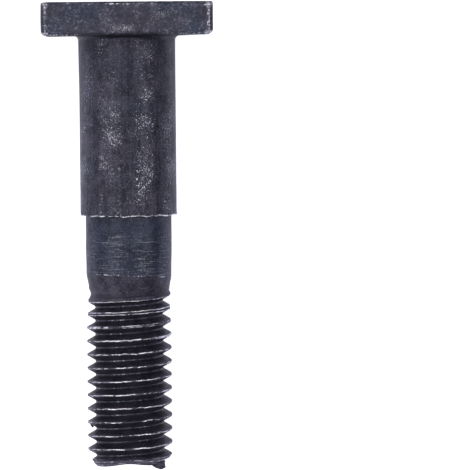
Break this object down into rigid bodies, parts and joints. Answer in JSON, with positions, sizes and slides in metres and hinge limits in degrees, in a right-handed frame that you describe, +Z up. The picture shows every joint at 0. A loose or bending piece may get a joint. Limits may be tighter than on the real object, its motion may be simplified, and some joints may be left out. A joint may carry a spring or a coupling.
{
  "type": "chainsaw bar bolt",
  "caption": "Bolt with a flat rectangular head, a plain round shoulder that locates a saw's guide bar, a turned neck and a rolled thread for the clamping nut.",
  "frame": {"origin": "on the surface that the bolt lies on, below the middle of its box", "axes": "+Y along the lying bolt towards its head, +X across it along the head's long side, +Z up, square to the head's upper flat but for the slight tilt at which it lies"},
  "size_m": [0.0156, 0.0434, 0.0121],
  "materials": {
    "blackened_steel": "blackened, satin, scuffed bright on crests and edges"
  },
  "bodies": {
    "root": {"bar_bolt": "blackened_steel"}
  },
  "joints": []
}
